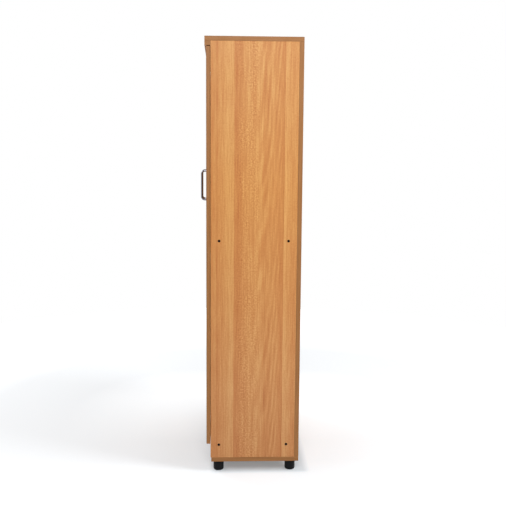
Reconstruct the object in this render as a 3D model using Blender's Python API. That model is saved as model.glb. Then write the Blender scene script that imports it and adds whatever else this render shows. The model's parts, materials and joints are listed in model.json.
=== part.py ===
"""A two-door wardrobe of laminated board on four round feet.

Metres, +Z up. The doors face -Y, and the origin is on the floor, under the middle of the whole
object with its handles. Boards keep a small seat gap where they meet, as glued and screwed boards do.
"""

import math

import bmesh
import bpy
from mathutils import Matrix, Vector

# Carcass
WIDTH = 0.800
HEIGHT = 1.800
BOARD = 0.018
SIDE_DEPTH = 0.354
SEAT = 0.0003
FOOT_HEIGHT = 0.0455
FOOT_RADIUS = 0.022
FOOT_INSET = 0.034
FOOT_ROUND = 0.007
BASE_SETBACK = 0.003
PLINTH_HEIGHT = 0.047
PLINTH_SETBACK = 0.020
SHELF_SETBACK = 0.002
SHELF_BAY_WIDTH = 0.270
LOWER_BAY_HEIGHT = 0.848
LOOSE_SHELF_SETBACK = 0.015
LOOSE_SHELF_PLAY = 0.001
LOWER_SHELF_RISE = 0.400
UPPER_SHELF_RISE = 0.380
TOP_OVERHANG = 0.0065
CORNICE_HEIGHT = 0.018

# Doors and handles
DOOR_THICKNESS = 0.016
DOOR_GAP = 0.0012
DOOR_REVEAL = 0.001
DOOR_MEETING_GAP = 0.003
DOOR_TOP_GAP = 0.003
DOOR_DECK_OVERLAP = 0.005
DOOR_EDGE_ROUND = 0.002
DOOR_EDGE_STEPS = 2
HANDLE_CENTRES = 0.128
HANDLE_BAR_RADIUS = 0.0048
HANDLE_PROJECTION = 0.029
HANDLE_BEND_RADIUS = 0.012
HANDLE_HEIGHT = 1.194
HANDLE_FROM_EDGE = 0.037
HANDLE_SIDES = 12
HANDLE_BEND_STEPS = 6

# Cup hinges: "in" runs inward from a side panel's outer face, "out" forward of its front edge
HINGE_FROM_DOOR_END = 0.110
HINGE_BELOW_SHELF = 0.050
ARM_PIVOT_IN = 0.0345
ARM_PIVOT_OUT = -0.0035
CUP_PIVOT_FROM_EDGE = 0.0089
CUP_PIVOT_DEPTH = 0.0046
PIVOT_PIN_RADIUS = 0.0015
PIVOT_PLAY = 0.0002
CUP_RADIUS = 0.0175
CUP_WALL = 0.0008
CUP_DEPTH = 0.0115
CUP_FROM_EDGE = 0.0035
CUP_SIDES = 24
FLANGE_THICKNESS = 0.0006
FLANGE_HALF_HEIGHT = 0.027
FLANGE_LOBE_OFFSET = 0.0095
LINK_HALF_WIDTH = 0.005
LINK_THICKNESS = 0.002
LINK_EYE_RADIUS = 0.003
LINK_CRANK = 0.006
LINK_EYE_STEPS = 9
EAR_RADIUS = 0.0035
EAR_THICKNESS = 0.002
EAR_STEPS = 8
PLATE_THICKNESS = 0.004
PLATE_WING_BACK = 0.037
PLATE_BACK = 0.064
PLATE_FRONT = 0.016
PLATE_WING_HALF_HEIGHT = 0.025
PLATE_WING_HALF_WIDTH = 0.008
PLATE_RAIL_HALF_HEIGHT = 0.009
ARM_BACK = 0.062
ARM_WEB_FRONT = 0.012
ARM_WEB = 0.0016
ARM_WALL_HEIGHT = 0.0075

# Hanging rail
RAIL_RADIUS = 0.0125
RAIL_WALL = 0.0012
RAIL_DROP = 0.060
RAIL_INSET = 0.030
BRACKET_THICKNESS = 0.014
BRACKET_SOCKET_DEPTH = 0.011
BRACKET_RIM = 0.0035
BRACKET_NECK = 0.020
BRACKET_STEPS = 20
BRACKET_FLANGE_WIDTH = 0.064
BRACKET_FLANGE_THICKNESS = 0.004
ROUND_SIDES = 24

# Fasteners
SCREW_SIDES = 12
CUT_OVER = 0.002
SIDE_SCREW_INSET = 0.035
SCREW_HEAD_RADIUS = 0.0052
SCREW_HEAD_HEIGHT = 0.0045
SCREW_SHANK_RADIUS = 0.0032
SCREW_LENGTH = 0.050
SHELF_PIN_RADIUS = 0.0025
SHELF_PIN_LENGTH = 0.016
SHELF_PIN_INSET = 0.045

# Levels and planes that follow from the driving sizes
half_width = WIDTH / 2
inner_x = half_width - BOARD
total_depth = HANDLE_PROJECTION + DOOR_THICKNESS + DOOR_GAP + SIDE_DEPTH + SEAT + BOARD
handle_front_y = -total_depth / 2
door_front_y = handle_front_y + HANDLE_PROJECTION
door_back_y = door_front_y + DOOR_THICKNESS
side_front_y = door_back_y + DOOR_GAP
side_back_y = side_front_y + SIDE_DEPTH
back_front_y = side_back_y + SEAT
back_y = back_front_y + BOARD
top_front_y = door_front_y - TOP_OVERHANG

base_z = FOOT_HEIGHT + SEAT
base_top_z = base_z + BOARD
deck_z = base_top_z + SEAT + PLINTH_HEIGHT + SEAT
deck_top_z = deck_z + BOARD
top_z = HEIGHT - BOARD
stand_z = base_top_z + SEAT
hang_z = top_z - SEAT
middle_z = deck_top_z + LOWER_BAY_HEIGHT
middle_top_z = middle_z + BOARD
cornice_z = hang_z - CORNICE_HEIGHT
door_z = deck_top_z - DOOR_DECK_OVERLAP
door_top_z = cornice_z - DOOR_TOP_GAP

partition_right_x = inner_x - SHELF_BAY_WIDTH
partition_left_x = partition_right_x - BOARD
rail_x = (partition_left_x - inner_x) / 2
rail_z = top_z - RAIL_DROP

cup_pivot_in = DOOR_REVEAL + CUP_PIVOT_FROM_EDGE
cup_pivot_out = DOOR_GAP + CUP_PIVOT_DEPTH
cup_in = DOOR_REVEAL + CUP_FROM_EDGE + CUP_RADIUS
plate_top_in = BOARD + SEAT + PLATE_THICKNESS
arm_in = plate_top_in + SEAT
arm_half_width = LINK_HALF_WIDTH + SEAT + EAR_THICKNESS
hinge_heights = {
    "lower": door_z + HINGE_FROM_DOOR_END,
    "middle": middle_z - HINGE_BELOW_SHELF,
    "upper": door_top_z - HINGE_FROM_DOOR_END,
}
HANDS = {"left": -1, "right": 1}

for old in list(bpy.data.objects):
    bpy.data.objects.remove(old, do_unlink=True)

cutters = {}


def finish(name, colour, roughness, metallic=0.0):
    """One Principled material."""
    material = bpy.data.materials.new(name)
    material.use_nodes = True
    shader = material.node_tree.nodes["Principled BSDF"]
    shader.inputs["Base Color"].default_value = (*colour, 1.0)
    shader.inputs["Roughness"].default_value = roughness
    shader.inputs["Metallic"].default_value = metallic
    material.diffuse_color = (*colour, 1.0)
    return material


BEECH = finish("beech_laminate", (0.63, 0.29, 0.10), 0.45)
CHROME = finish("chromed_steel", (0.62, 0.61, 0.62), 0.15, 1.0)
NICKEL = finish("nickel_steel", (0.55, 0.54, 0.52), 0.32, 1.0)
BLACK = finish("black_plastic", (0.016, 0.016, 0.018), 0.48)
BROWN = finish("brown_plastic", (0.035, 0.012, 0.005), 0.5)


def prism(shape, outline, low, high, axis="z"):
    """Adds a closed prism: the outline's two coordinates, and low to high along the axis."""
    def place(a, b, along):
        return {"x": (along, a, b), "y": (a, along, b), "z": (a, b, along)}[axis]

    bottom = [shape.verts.new(place(a, b, low)) for a, b in outline]
    top = [shape.verts.new(place(a, b, high)) for a, b in outline]
    shape.faces.new(bottom)
    shape.faces.new(top)
    for i in range(len(outline)):
        shape.faces.new((bottom[i - 1], bottom[i], top[i], top[i - 1]))


def turned(shape, start, direction, profile, sides):
    """Adds a closed turned solid: the profile is (distance along direction, radius) from end to end."""
    axis = Vector(direction)
    across = axis.orthogonal().normalized()
    up = axis.cross(across)
    turns = [2 * math.pi * (i + 0.5) / sides for i in range(sides)]
    rings = []
    for distance, radius in profile:
        centre = Vector(start) + axis * distance
        spokes = [across * math.cos(turn) + up * math.sin(turn) for turn in turns]
        rings.append([shape.verts.new(centre + radius * spoke) for spoke in spokes])
    shape.faces.new(rings[0])
    shape.faces.new(rings[-1])
    for lower, upper in zip(rings, rings[1:]):
        for i in range(sides):
            shape.faces.new((lower[i - 1], lower[i], upper[i], upper[i - 1]))


def arc(centre, radius, start, end, steps):
    """Points on an arc, from the start angle to the end angle in degrees."""
    turns = [math.radians(start + (end - start) * i / steps) for i in range(steps + 1)]
    return [(centre[0] + radius * math.cos(t), centre[1] + radius * math.sin(t)) for t in turns]


def as_object(name, shape):
    """A mesh object from a shape, with every face pointing out."""
    bmesh.ops.recalc_face_normals(shape, faces=shape.faces)
    mesh = bpy.data.meshes.new(name)
    shape.to_mesh(mesh)
    shape.free()
    made = bpy.data.objects.new(name, mesh)
    bpy.context.collection.objects.link(made)
    return made


def piece(name, shape, material, parent=None, smooth=False):
    """A finished sub-part. Its mesh is in world coordinates, whatever its parent's place."""
    made = as_object(name, shape)
    made.data.materials.append(material)
    if smooth:
        made.data.shade_smooth()
        made.data.set_sharp_from_angle(angle=math.radians(40))
    if parent:
        made.parent = parent
        made.matrix_parent_inverse = Matrix.Translation(-pivots[parent.name])
    return made


def helper(name, shape):
    """A shape that only cuts or joins, and is never part of the object."""
    made = as_object(name, shape)
    made.hide_render = True
    made.display_type = "WIRE"
    return made


def boolean(target, other, operation):
    modifier = target.modifiers.new(operation.lower(), "BOOLEAN")
    modifier.operation = operation
    modifier.solver = "EXACT"
    modifier.use_self = True
    modifier.object = other


def board(name, low, high, parent=None, edge_round=0.0):
    """A plain board between two corners, with its edges rounded if asked."""
    shape = bmesh.new()
    outline = [(low[0], low[1]), (high[0], low[1]), (high[0], high[1]), (low[0], high[1])]
    prism(shape, outline, low[2], high[2])
    made = piece(name, shape, BEECH, parent)
    if edge_round:
        bevel = made.modifiers.new("edge_round", "BEVEL")
        bevel.width = edge_round
        bevel.segments = DOOR_EDGE_STEPS
    return made


def bore(names, start, direction, profile, sides=SCREW_SIDES):
    """Cuts a turned bore into each named piece."""
    for name in names:
        turned(cutters.setdefault(name, bmesh.new()), start, direction, profile, sides)


# Door and link pivots: each empty stands on its joint's axis
def hinge_point(hand, inward, outward):
    """World x and y of a point given from a side panel's outer face and front edge."""
    return HANDS[hand] * (half_width - inward), side_front_y - outward


pivots = {}
axes = {}
for hand in HANDS:
    for part, inward, outward in (
        ("link", ARM_PIVOT_IN, ARM_PIVOT_OUT),
        ("door", cup_pivot_in, cup_pivot_out),
    ):
        pivot = bpy.data.objects.new(f"{hand}_{part}_axis", None)
        bpy.context.collection.objects.link(pivot)
        pivots[pivot.name] = Vector((*hinge_point(hand, inward, outward), 0.0))
        axes[hand, part] = pivot
        pivot.location = pivots[pivot.name]
    door_axis, link_axis = axes[hand, "door"], axes[hand, "link"]
    door_axis.parent = link_axis
    door_axis.matrix_parent_inverse = Matrix.Translation(-pivots[link_axis.name])


# Fixed boards
board("top_panel", (-half_width, top_front_y, top_z), (half_width, back_y, HEIGHT))
board("cornice_strip", (-half_width, top_front_y, cornice_z), (half_width, side_front_y - SEAT, hang_z))
board("left_side_panel", (-half_width, side_front_y, stand_z), (-inner_x, side_back_y, hang_z))
board("right_side_panel", (inner_x, side_front_y, stand_z), (half_width, side_back_y, hang_z))
board("back_panel", (-half_width, back_front_y, stand_z), (half_width, back_y, hang_z))
board("base_panel", (-half_width, side_front_y + BASE_SETBACK, base_z), (half_width, back_y, base_top_z))

clear_x = inner_x - SEAT
shelf_front_y = side_front_y + SHELF_SETBACK
plinth_front_y = side_front_y + PLINTH_SETBACK
board("plinth_board", (-clear_x, plinth_front_y, stand_z), (clear_x, plinth_front_y + BOARD, deck_z - SEAT))
board("deck_shelf", (-clear_x, shelf_front_y, deck_z), (clear_x, side_back_y, deck_top_z))
board(
    "partition_panel",
    (partition_left_x, shelf_front_y, deck_top_z + SEAT),
    (partition_right_x, side_back_y, hang_z),
)
board(
    "middle_shelf",
    (partition_right_x + SEAT, shelf_front_y, middle_z),
    (clear_x, side_back_y, middle_top_z),
)


# Loose shelves on four pins each
loose_front_y = side_front_y + LOOSE_SHELF_SETBACK
loose_back_y = side_back_y - LOOSE_SHELF_PLAY


def loose_shelf(place, low_z):
    name = f"{place}_loose_shelf"
    low = (partition_right_x + LOOSE_SHELF_PLAY, loose_front_y, low_z)
    high = (inner_x - LOOSE_SHELF_PLAY, loose_back_y, low_z + BOARD)
    board(name, low, high)
    pin_z = low_z - SEAT - SHELF_PIN_RADIUS
    reach = SHELF_PIN_LENGTH / 2
    shaft = [(-reach, SHELF_PIN_RADIUS), (reach, SHELF_PIN_RADIUS)]
    hole = [(-reach - SEAT, SHELF_PIN_RADIUS + SEAT), (CUT_OVER, SHELF_PIN_RADIUS + SEAT)]
    for end, y in (("front", loose_front_y + SHELF_PIN_INSET), ("rear", loose_back_y - SHELF_PIN_INSET)):
        for hand, wall, x, inward in (
            ("left", "partition_panel", partition_right_x, 1),
            ("right", "right_side_panel", inner_x, -1),
        ):
            shape = bmesh.new()
            turned(shape, (x, y, pin_z), (inward, 0, 0), shaft, SCREW_SIDES)
            piece(f"{place}_shelf_pin_{end}_{hand}", shape, NICKEL, smooth=True)
            bore([wall], (x, y, pin_z), (inward, 0, 0), hole)


loose_shelf("lower", deck_top_z + LOWER_SHELF_RISE)
loose_shelf("upper", middle_top_z + UPPER_SHELF_RISE)


# Capped screws through the right side panel into the ends of the two fixed shelves
head, shank = SCREW_HEAD_RADIUS, SCREW_SHANK_RADIUS
screw_profile = [
    (0.0, head), (SCREW_HEAD_HEIGHT, head), (SCREW_HEAD_HEIGHT, shank), (SCREW_LENGTH, shank),
]
screw_bore = [
    (-CUT_OVER, head + SEAT), (SCREW_HEAD_HEIGHT + SEAT, head + SEAT),
    (SCREW_HEAD_HEIGHT + SEAT, shank + SEAT), (SCREW_LENGTH + SEAT, shank + SEAT),
]
for shelf, z in (("deck", (deck_z + deck_top_z) / 2), ("middle", (middle_z + middle_top_z) / 2)):
    for end, y in (("front", side_front_y + SIDE_SCREW_INSET), ("rear", side_back_y - SIDE_SCREW_INSET)):
        shape = bmesh.new()
        turned(shape, (half_width, y, z), (-1, 0, 0), screw_profile, SCREW_SIDES)
        piece(f"{shelf}_shelf_screw_{end}", shape, BROWN, smooth=True)
        bore(["right_side_panel", f"{shelf}_shelf"], (half_width, y, z), (-1, 0, 0), screw_bore)


# Hanging rail, front to back because the carcass is shallower than a hanger is wide
bracket_ys = {
    "front": (side_front_y + RAIL_INSET, 1),
    "rear": (side_back_y - RAIL_INSET, -1),
}
socket_radius = RAIL_RADIUS + SEAT
ring_radius = socket_radius + BRACKET_RIM
flange_z = top_z - SEAT
neck = BRACKET_NECK / 2
neck_turn = math.degrees(math.acos(neck / ring_radius))
flange_half = BRACKET_FLANGE_WIDTH / 2
for name, (outer_y, inward) in bracket_ys.items():
    shape = bmesh.new()
    outline = arc((rail_x, rail_z), ring_radius, 180 - neck_turn, 360 + neck_turn, BRACKET_STEPS)
    outline += [
        (rail_x + neck, flange_z - BRACKET_FLANGE_THICKNESS),
        (rail_x + flange_half, flange_z - BRACKET_FLANGE_THICKNESS),
        (rail_x + flange_half, flange_z),
        (rail_x - flange_half, flange_z),
        (rail_x - flange_half, flange_z - BRACKET_FLANGE_THICKNESS),
        (rail_x - neck, flange_z - BRACKET_FLANGE_THICKNESS),
    ]
    prism(shape, outline, outer_y, outer_y + inward * BRACKET_THICKNESS, "y")
    piece(f"{name}_rail_bracket", shape, CHROME, smooth=True)
    mouth_y = outer_y + inward * BRACKET_THICKNESS
    socket = [(-CUT_OVER, socket_radius), (BRACKET_SOCKET_DEPTH, socket_radius)]
    bore([f"{name}_rail_bracket"], (rail_x, mouth_y, rail_z), (0, -inward, 0), socket, ROUND_SIDES)

rail_end = BRACKET_THICKNESS - BRACKET_SOCKET_DEPTH + SEAT
rail_front_y = bracket_ys["front"][0] + rail_end
rail_length = bracket_ys["rear"][0] - rail_end - rail_front_y
shape = bmesh.new()
tube = [(0.0, RAIL_RADIUS), (rail_length, RAIL_RADIUS)]
turned(shape, (rail_x, rail_front_y, rail_z), (0, 1, 0), tube, ROUND_SIDES)
piece("hanging_rail", shape, CHROME, smooth=True)
rail_bore = RAIL_RADIUS - RAIL_WALL
hollow = [(-CUT_OVER, rail_bore), (rail_length + CUT_OVER, rail_bore)]
bore(["hanging_rail"], (rail_x, rail_front_y, rail_z), (0, 1, 0), hollow, ROUND_SIDES)


# Feet: turned, rounded at the floor
def foot(name, x, y):
    shape = bmesh.new()
    round_off = [
        (FOOT_ROUND * (1 - math.cos(turn)), FOOT_RADIUS - FOOT_ROUND * (1 - math.sin(turn)))
        for turn in (0.0, math.pi / 6, math.pi / 3, math.pi / 2)
    ]
    turned(shape, (x, y, 0.0), (0, 0, 1), round_off + [(FOOT_HEIGHT, FOOT_RADIUS)], ROUND_SIDES)
    piece(name, shape, BLACK, smooth=True)


for end, foot_y in (("front", side_front_y + FOOT_INSET), ("rear", back_y - FOOT_INSET)):
    for hand, sign in HANDS.items():
        foot(f"{end}_{hand}_foot", sign * (half_width - FOOT_INSET), foot_y)


# Doors, with rounded edges so that the hinge edge clears the side panel as it swings
def door(hand):
    sign = HANDS[hand]
    xs = sorted((sign * (half_width - DOOR_REVEAL), sign * DOOR_MEETING_GAP / 2))
    low, high = (xs[0], door_front_y, door_z), (xs[1], door_back_y, door_top_z)
    board(f"{hand}_door", low, high, axes[hand, "door"], DOOR_EDGE_ROUND)


# Handles: one round bar, bent twice, standing on the door's front
def handle(hand):
    x = HANDS[hand] * (DOOR_MEETING_GAP / 2 + HANDLE_FROM_EDGE)
    foot_y = door_front_y - SEAT
    bar_y = handle_front_y + HANDLE_BAR_RADIUS
    bend = HANDLE_BEND_RADIUS
    low_z, high_z = HANDLE_HEIGHT - HANDLE_CENTRES / 2, HANDLE_HEIGHT + HANDLE_CENTRES / 2
    path = [(foot_y, low_z)]
    path += arc((bar_y + bend, low_z + bend), bend, 270, 180, HANDLE_BEND_STEPS)
    path += arc((bar_y + bend, high_z - bend), bend, 180, 90, HANDLE_BEND_STEPS)
    path += [(foot_y, high_z)]
    shape = bmesh.new()
    rings = []
    for i, (y, z) in enumerate(path):
        before, after = path[max(i - 1, 0)], path[min(i + 1, len(path) - 1)]
        along = Vector((0.0, after[0] - before[0], after[1] - before[1])).normalized()
        if i in (0, len(path) - 1):
            along = Vector((0.0, -1.0 if i == 0 else 1.0, 0.0))
        out = along.cross(Vector((1.0, 0.0, 0.0)))
        turns = [2 * math.pi * (k + 0.5) / HANDLE_SIDES for k in range(HANDLE_SIDES)]
        rings.append([
            shape.verts.new(
                Vector((x + HANDLE_BAR_RADIUS * math.cos(t), y, z)) + out * HANDLE_BAR_RADIUS * math.sin(t)
            )
            for t in turns
        ])
    shape.faces.new(rings[0])
    shape.faces.new(rings[-1])
    for lower, upper in zip(rings, rings[1:]):
        for k in range(HANDLE_SIDES):
            shape.faces.new((lower[k - 1], lower[k], upper[k], upper[k - 1]))
    piece(f"{hand}_handle", shape, CHROME, axes[hand, "door"], smooth=True)


# Cup hinges
def hinge_outline(hand, points):
    """World outline of points given as inward and outward distances."""
    return [hinge_point(hand, inward, outward) for inward, outward in points]


def pin_bore(name, hand, inward, outward, z, half_length):
    """A running bore for a pivot pin, right through a piece."""
    x, y = hinge_point(hand, inward, outward)
    radius = PIVOT_PIN_RADIUS + PIVOT_PLAY
    bore([name], (x, y, z - half_length), (0, 0, 1), [(0.0, radius), (2 * half_length, radius)])


def add_pin(target, hand, inward, outward, z, half_length):
    """A pivot pin, pressed into the piece that carries it."""
    x, y = hinge_point(hand, inward, outward)
    profile = [(0.0, PIVOT_PIN_RADIUS), (2 * half_length, PIVOT_PIN_RADIUS)]
    shape = bmesh.new()
    turned(shape, (x, y, z - half_length), (0, 0, 1), profile, SCREW_SIDES)
    boolean(target, helper(f"{target.name}_pin", shape), "UNION")


def hinge_plate(hand, place, z):
    """A cross-shaped plate on the side panel's inner face."""
    middle, wing = -PLATE_WING_BACK, PLATE_WING_HALF_WIDTH
    rail, tall = PLATE_RAIL_HALF_HEIGHT, PLATE_WING_HALF_HEIGHT
    cross = [
        (-PLATE_FRONT, -rail), (-PLATE_FRONT, rail), (middle + wing, rail), (middle + wing, tall),
        (middle - wing, tall), (middle - wing, rail), (-PLATE_BACK, rail), (-PLATE_BACK, -rail),
        (middle - wing, -rail), (middle - wing, -tall), (middle + wing, -tall), (middle + wing, -rail),
    ]
    low_x, front_y = hinge_point(hand, BOARD + SEAT, 0.0)
    top_x, _ = hinge_point(hand, plate_top_in, 0.0)
    shape = bmesh.new()
    prism(shape, [(front_y - outward, z + rise) for outward, rise in cross], low_x, top_x, "x")
    piece(f"{hand}_{place}_hinge_plate", shape, NICKEL)


def hinge_arm(hand, place, z):
    """A channel on the plate, whose two ears reach forward to the link's pin."""
    name = f"{hand}_{place}_hinge_arm"
    tip = (ARM_PIVOT_IN, ARM_PIVOT_OUT)
    wall_in = arm_in + ARM_WALL_HEIGHT
    side = [(arm_in, -ARM_BACK), (arm_in, -ARM_WEB_FRONT)]
    side += arc(tip, EAR_RADIUS, 150, -20, EAR_STEPS)
    side += [(wall_in, -PLATE_WING_BACK), (wall_in, -ARM_BACK)]
    shape = bmesh.new()
    prism(shape, hinge_outline(hand, side), z - arm_half_width, z + arm_half_width)
    made = piece(name, shape, NICKEL)
    channel = bmesh.new()
    floor_in = arm_in + ARM_WEB
    over_in = ARM_PIVOT_IN + EAR_RADIUS + CUT_OVER
    over_out = ARM_PIVOT_OUT + EAR_RADIUS + CUT_OVER
    trough = [(floor_in, -ARM_BACK + EAR_THICKNESS), (floor_in, over_out)]
    trough += [(over_in, over_out), (over_in, -ARM_BACK + EAR_THICKNESS)]
    inside = LINK_HALF_WIDTH + SEAT
    prism(channel, hinge_outline(hand, trough), z - inside, z + inside)
    boolean(made, helper(f"{name}_channel", channel), "DIFFERENCE")
    add_pin(made, hand, *tip, z, arm_half_width - SEAT)


def hinge_link(hand, place, z):
    """A cranked link from the arm's pin to the cup's pin, bowed so that it clears the cup's rim."""
    start, end = Vector((cup_pivot_in, cup_pivot_out)), Vector((ARM_PIVOT_IN, ARM_PIVOT_OUT))
    along = (end - start).normalized()
    aside = Vector((-along.y, along.x))
    length = (end - start).length
    lean = math.degrees(math.atan2(along.y, along.x))
    mouth = math.degrees(math.asin(LINK_THICKNESS / 2 / LINK_EYE_RADIUS))
    bow = math.degrees(math.atan(4 * LINK_CRANK / length))
    steps = [i / 8 for i in range(2, 7)]
    spine = [start + along * length * s + aside * LINK_CRANK * 4 * s * (1 - s) for s in steps]
    upper = [point + aside * LINK_THICKNESS / 2 for point in spine]
    lower = [point - aside * LINK_THICKNESS / 2 for point in spine]
    turn = lean + bow
    outline = arc(start, LINK_EYE_RADIUS, turn + mouth, turn + 360 - mouth, LINK_EYE_STEPS)
    outline += [(point.x, point.y) for point in lower]
    turn = lean - bow + 180
    outline += arc(end, LINK_EYE_RADIUS, turn + mouth, turn + 360 - mouth, LINK_EYE_STEPS)
    outline += [(point.x, point.y) for point in reversed(upper)]
    name = f"{hand}_{place}_hinge_link"
    shape = bmesh.new()
    prism(shape, hinge_outline(hand, outline), z - LINK_HALF_WIDTH, z + LINK_HALF_WIDTH)
    piece(name, shape, NICKEL, axes[hand, "link"])
    for point in (start, end):
        pin_bore(name, hand, point.x, point.y, z, LINK_HALF_WIDTH + CUT_OVER)


def hinge_cup(hand, place, z):
    """A pressed cup in the door's back, with a flange and the pin that the link turns on."""
    name = f"{hand}_{place}_hinge_cup"
    rim_out = DOOR_GAP - SEAT - FLANGE_THICKNESS
    centre_x, rim_y = hinge_point(hand, cup_in, rim_out)
    bottom = DOOR_GAP + CUP_DEPTH - rim_out
    shape = bmesh.new()
    turned(shape, (centre_x, rim_y, z), (0, -1, 0), [(0.0, CUP_RADIUS), (bottom, CUP_RADIUS)], CUP_SIDES)
    made = piece(name, shape, NICKEL, axes[hand, "door"], smooth=True)

    edge, lobe_in = cup_in - CUP_RADIUS, cup_in + FLANGE_LOBE_OFFSET
    far_edge, waist = cup_in + CUP_RADIUS, CUP_RADIUS / 2
    lobe, tall = CUP_RADIUS / 2, FLANGE_HALF_HEIGHT
    flange_plan = [
        (edge, -waist), (edge, waist), (lobe_in - lobe, tall), (lobe_in + lobe / 2, tall),
        (far_edge, waist), (far_edge, -waist), (lobe_in + lobe / 2, -tall), (lobe_in - lobe, -tall),
    ]
    flange = bmesh.new()
    outline = [(hinge_point(hand, inward, 0.0)[0], z + rise) for inward, rise in flange_plan]
    prism(flange, outline, rim_y, rim_y - FLANGE_THICKNESS, "y")
    boolean(made, helper(f"{name}_flange", flange), "UNION")

    hollow_radius = CUP_RADIUS - CUP_WALL
    hollow = bmesh.new()
    depth = [(-CUT_OVER, hollow_radius), (bottom - CUP_WALL, hollow_radius)]
    turned(hollow, (centre_x, rim_y, z), (0, -1, 0), depth, CUP_SIDES)
    boolean(made, helper(f"{name}_hollow", hollow), "DIFFERENCE")
    pin_reach = cup_in - cup_pivot_in + PIVOT_PIN_RADIUS
    pin_half = math.sqrt((CUP_RADIUS - CUP_WALL / 2) ** 2 - pin_reach**2)
    add_pin(made, hand, cup_pivot_in, cup_pivot_out, z, pin_half)

    well = [(-CUT_OVER, CUP_RADIUS + SEAT), (bottom + SEAT, CUP_RADIUS + SEAT)]
    bore([f"{hand}_door"], (centre_x, rim_y, z), (0, -1, 0), well, CUP_SIDES)


for hand in HANDS:
    door(hand)
    handle(hand)
    for place, hinge_z in hinge_heights.items():
        hinge_plate(hand, place, hinge_z)
        hinge_arm(hand, place, hinge_z)
        hinge_link(hand, place, hinge_z)
        hinge_cup(hand, place, hinge_z)


# Every bore, cut last
for name, shape in cutters.items():
    boolean(bpy.data.objects[name], helper(f"{name}_bores", shape), "DIFFERENCE")
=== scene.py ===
# %% [markdown]
# # Dressing a two-door wardrobe
#
# The wardrobe is flat-pack furniture: beech-print board with banded edges, cup hinges, bow handles,
# and four round black feet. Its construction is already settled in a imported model, where every board
# and fitting is a separate solid at its real size. This lesson keeps each of those places and makes
# the looks around them: eased and banded boards, smooth metalwork, small fasteners, finishes, light
# and a camera.

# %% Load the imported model
import json
import math
from functools import partial

import bmesh
import bpy
from mathutils import Matrix, Vector

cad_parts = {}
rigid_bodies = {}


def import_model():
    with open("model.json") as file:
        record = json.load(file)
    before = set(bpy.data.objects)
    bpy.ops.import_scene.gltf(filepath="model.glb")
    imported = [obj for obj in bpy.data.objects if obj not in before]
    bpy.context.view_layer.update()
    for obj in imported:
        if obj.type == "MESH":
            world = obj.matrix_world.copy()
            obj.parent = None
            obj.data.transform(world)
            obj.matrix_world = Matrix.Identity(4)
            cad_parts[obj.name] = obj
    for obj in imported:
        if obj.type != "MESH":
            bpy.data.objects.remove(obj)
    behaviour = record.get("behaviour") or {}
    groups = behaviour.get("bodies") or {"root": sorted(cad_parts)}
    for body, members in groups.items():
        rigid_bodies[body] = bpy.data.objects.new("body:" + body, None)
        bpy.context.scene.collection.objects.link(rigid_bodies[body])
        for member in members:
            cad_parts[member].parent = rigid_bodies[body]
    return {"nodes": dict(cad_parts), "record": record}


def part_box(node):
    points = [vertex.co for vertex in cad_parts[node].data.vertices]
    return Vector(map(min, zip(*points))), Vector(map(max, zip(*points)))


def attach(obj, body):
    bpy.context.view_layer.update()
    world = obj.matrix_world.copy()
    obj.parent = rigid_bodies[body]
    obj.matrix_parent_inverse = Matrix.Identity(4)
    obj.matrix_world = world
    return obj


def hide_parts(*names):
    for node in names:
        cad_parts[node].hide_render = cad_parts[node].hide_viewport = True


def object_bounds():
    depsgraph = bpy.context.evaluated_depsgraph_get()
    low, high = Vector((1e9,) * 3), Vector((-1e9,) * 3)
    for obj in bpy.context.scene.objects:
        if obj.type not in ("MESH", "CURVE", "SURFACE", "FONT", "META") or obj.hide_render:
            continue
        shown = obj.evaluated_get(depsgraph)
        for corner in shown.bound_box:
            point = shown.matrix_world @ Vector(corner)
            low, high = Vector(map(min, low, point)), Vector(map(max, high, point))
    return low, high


for old in list(bpy.data.objects):
    bpy.data.objects.remove(old, do_unlink=True)

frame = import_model()
cad_box = [list(corner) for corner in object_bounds()]
scene = bpy.context.scene
scene.view_settings.view_transform = "Standard"
record = frame["record"]
body_of = {node: body for body, nodes in record["behaviour"]["bodies"].items() for node in nodes}
print(len(body_of), "pieces loaded, box", cad_box)

# %% [markdown]
# ## The camera
#
# The picture shows the right-hand side of the wardrobe, from eye level and a little above its middle,
# so the side panel fills the view and the door is seen edge-on. A camera could be aimed by eye with a
# Track To constraint. Here its place and three small turns are written down instead, because they come
# from a perspective fit to the picture's corners, and a fit is only useful if it is kept exactly. The
# lens is worked out from the fit's focal length in pixels.

# %% Place the camera
PICTURE_WIDTH_PX = 506
FOCAL_LENGTH_PX = 800
SENSOR_MM = 36.0
CAMERA_OUT = 3.6368
CAMERA_BEHIND_FRONT_EDGE = 0.0346
CAMERA_HEIGHT = 1.3863
CAMERA_YAW, CAMERA_PITCH, CAMERA_ROLL = (math.radians(turn) for turn in (2.46038, 7.88850, 0.39317))

side_low, side_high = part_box("right_side_panel")
camera = bpy.data.objects.new("camera", bpy.data.cameras.new("camera"))
scene.collection.objects.link(camera)
camera.data.sensor_width = SENSOR_MM
camera.data.lens = FOCAL_LENGTH_PX / PICTURE_WIDTH_PX * SENSOR_MM
forward = Vector((
    -math.cos(CAMERA_YAW) * math.cos(CAMERA_PITCH),
    math.sin(CAMERA_YAW) * math.cos(CAMERA_PITCH),
    -math.sin(CAMERA_PITCH),
))
level = forward.cross(Vector((0.0, 0.0, 1.0))).normalized()
upright = level.cross(forward)
right = level * math.cos(CAMERA_ROLL) + upright * math.sin(CAMERA_ROLL)
up = upright * math.cos(CAMERA_ROLL) - level * math.sin(CAMERA_ROLL)
turned = Matrix((right, up, -forward)).transposed().to_4x4()
place = Vector((CAMERA_OUT, side_low.y + CAMERA_BEHIND_FRONT_EDGE, CAMERA_HEIGHT))
camera.matrix_world = Matrix.Translation(place) @ turned
scene.camera = camera
print("camera at", tuple(round(x, 3) for x in place), "lens", round(camera.data.lens, 2), "mm")

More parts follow.
